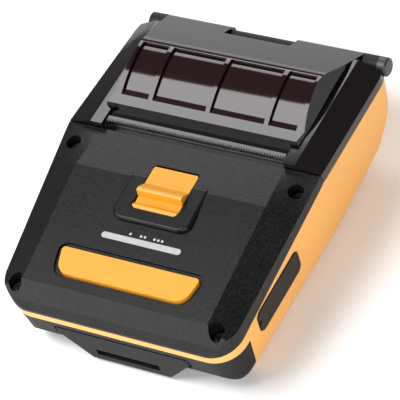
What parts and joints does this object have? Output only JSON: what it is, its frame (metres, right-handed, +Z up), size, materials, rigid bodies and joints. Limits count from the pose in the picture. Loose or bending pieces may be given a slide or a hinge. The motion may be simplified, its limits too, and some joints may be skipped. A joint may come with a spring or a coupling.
{
  "type": "portable label printer",
  "caption": "Hand-held label printer: bright case, dark top with feed button, latch lever and light bar, smoked ribbed paper cover on a rear hinge, platen drive and slide-out battery.",
  "frame": {"origin": "on the table, under the middle of the case's length and width", "axes": "+X to the right, +Y to the rear hinge of the paper cover, +Z up"},
  "size_m": [0.1182, 0.15, 0.0534],
  "materials": {
    "case_colour": "fine satin texture",
    "case_dark": "fine matt texture",
    "button_colour": "satin",
    "light_guide": "milky, smooth",
    "board": "solder resist",
    "board_part": "matt",
    "screw_steel": "dark nickel",
    "bright_steel": "bright",
    "soft_rubber": "matt",
    "smoked_cover": "polished, smoked, see-through at an angle",
    "tear_plastic": "satin",
    "bush_plastic": "matt",
    "pinion_brass": "machined",
    "head_aluminium": "milled",
    "head_ceramic": "glazed",
    "cell_foil": "foil"
  },
  "bodies": {
    "base": {"side_shell": "case_colour", "lower_case": "case_dark", "top_case": "case_dark", "light_bar": "light_guide", "key_board": "board", "push_switches": "board_part", "case_screws": "screw_steel", "control_board": "board", "usb_socket": "bright_steel", "power_jack": "board_part", "print_frame": "bright_steel", "idler_axle": "bright_steel", "feed_motor": "bright_steel", "printhead_springs": "bright_steel", "latch_shaft": "bright_steel", "latch_spring": "bright_steel", "battery_contacts": "board_part", "battery_detents": "bright_steel", "media_bucket": "case_dark", "media_sensor": "board_part", "rubber_feet": "soft_rubber", "hinge_pin": "bright_steel", "hinge_cap": "case_dark"},
    "cover": {"cover_shell": "smoked_cover", "tear_bar": "tear_plastic", "cover_frame": "bright_steel", "platen_bushes": "bush_plastic"},
    "platen": {"platen_shaft": "bright_steel", "platen_rubber": "soft_rubber", "platen_gear": "bush_plastic"},
    "idler": {"idler_gear": "bush_plastic"},
    "pinion": {"motor_pinion": "pinion_brass"},
    "button": {"feed_button": "button_colour"},
    "lever": {"latch_lever": "button_colour"},
    "hooks": {"cover_hooks": "bright_steel"},
    "printhead": {"printhead_bar": "head_aluminium", "printhead_ceramic": "head_ceramic"},
    "flap": {"socket_flap": "soft_rubber"},
    "battery": {"battery_case": "case_dark", "battery_lid": "case_dark", "battery_cells": "cell_foil"},
    "guide_right": {"media_guide_right": "board_part"},
    "guide_left": {"media_guide_left": "board_part"},
    "guide_gear": {"guide_pinion": "bush_plastic"}
  },
  "joints": [
    {"name": "cover_hinge", "type": "hinge", "parent": "base", "child": "cover", "pos_m": [0, 0.071, 0.0362], "axis": [-1, 0, 0], "range_deg": [0, 105]},
    {"name": "platen_spin", "type": "hinge", "parent": "cover", "child": "platen", "pos_m": [0, 0.0145, 0.0342], "axis": [1, 0, 0], "continuous": true},
    {"name": "idler_spin", "type": "hinge", "parent": "base", "child": "idler", "pos_m": [0.0479, 0.0145, 0.018], "axis": [1, 0, 0], "continuous": true},
    {"name": "pinion_spin", "type": "hinge", "parent": "base", "child": "pinion", "pos_m": [0.0479, 0.00202, 0.01625], "axis": [1, 0, 0], "continuous": true},
    {"name": "feed_button_press", "type": "slide", "parent": "base", "child": "button", "axis": [0, 0, -1], "range_m": [0, 0.001], "stiffness_N_per_m": 500, "springref_m": -0.001},
    {"name": "latch_lever_turn", "type": "hinge", "parent": "base", "child": "lever", "pos_m": [0, -0.0078, 0.04201], "axis": [-1, 0, 0], "range_deg": [0, 14], "stiffness_Nm_per_rad": 0.05, "springref_deg": -11.46},
    {"name": "hooks_turn", "type": "hinge", "parent": "base", "child": "hooks", "pos_m": [0, -0.003, 0.0312], "axis": [1, 0, 0], "range_deg": [0, 9.66]},
    {"name": "printhead_float", "type": "hinge", "parent": "base", "child": "printhead", "pos_m": [0, 0.0058, 0.0277], "axis": [1, 0, 0], "range_deg": [0, 2], "stiffness_Nm_per_rad": 2, "springref_deg": -2.86},
    {"name": "socket_flap_bend", "type": "hinge", "parent": "base", "child": "flap", "pos_m": [0.05634, -0.0198, 0.0228], "axis": [0.1142, 0, 0.9935], "range_deg": [0, 110], "stiffness_Nm_per_rad": 0.003, "springref_deg": -11.46},
    {"name": "battery_slide", "type": "slide", "parent": "base", "child": "battery", "axis": [0, -1, 0], "range_m": [0, 0.058]},
    {"name": "guide_right_slide", "type": "slide", "parent": "base", "child": "guide_right", "axis": [-1, 0, 0], "range_m": [0, 0.012]},
    {"name": "guide_left_slide", "type": "slide", "parent": "base", "child": "guide_left", "axis": [1, 0, 0], "range_m": [0, 0.012]},
    {"name": "guide_gear_spin", "type": "hinge", "parent": "base", "child": "guide_gear", "pos_m": [0, 0.036, 0.0087], "axis": [0, 0, 1], "range_deg": [0, 190.99]}
  ],
  "couplings": [
    {"joint": "idler_spin", "follows": "platen_spin", "ratio": -0.8},
    {"joint": "pinion_spin", "follows": "platen_spin", "ratio": 2},
    {"joint": "hooks_turn", "follows": "latch_lever_turn", "ratio": 0.69},
    {"joint": "guide_right_slide", "follows": "guide_left_slide", "ratio": 1},
    {"joint": "guide_gear_spin", "follows": "guide_left_slide", "rad_per_m": 277.78}
  ]
}
